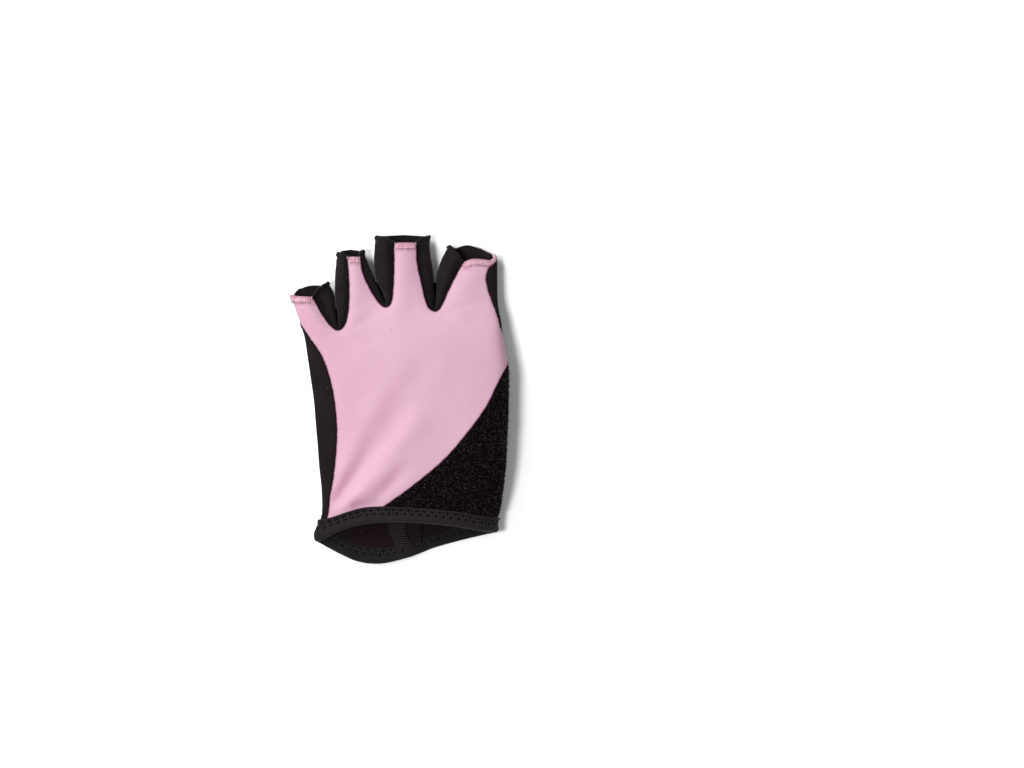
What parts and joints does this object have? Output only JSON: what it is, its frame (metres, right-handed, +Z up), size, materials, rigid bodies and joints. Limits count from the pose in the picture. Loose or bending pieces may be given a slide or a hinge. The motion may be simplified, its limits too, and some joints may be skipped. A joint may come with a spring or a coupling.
{
  "type": "cycling glove",
  "caption": "Left-hand short-finger cycling glove: stretch back, suede palm with stitched pads, terry thumb, elastic cuff binding; lies palm down with the thumb folded under.",
  "frame": {"origin": "middle of the bounding box, on the surface that the glove lies on", "axes": "+X to the thumb side, +Y to the fingertips, +Z up, out of the back of the glove"},
  "size_m": [0.0978, 0.1474, 0.0223],
  "materials": {
    "jersey": "pink stretch jersey knit",
    "suede": "black synthetic suede, fine nap",
    "terry": "black terry, looped",
    "stretch": "black stretch knit",
    "elastic": "black elastic binding, folded over",
    "pad_suede": "black synthetic suede over foam",
    "ribbed": "black ribbed knit ribbon"
  },
  "bodies": {
    "root": {"back_panel": "jersey", "palm_panel": "suede", "thumb_panel": "terry", "thumb_patch": "suede", "fourchette_little_ring": "stretch", "fourchette_ring_middle": "stretch", "fourchette_middle_index": "stretch", "cuff_binding": "elastic", "heel_pad": "pad_suede", "knuckle_pad": "pad_suede", "pull_tab_middle": "ribbed", "pull_tab_little": "ribbed", "cuff_tape": "ribbed"}
  },
  "joints": []
}
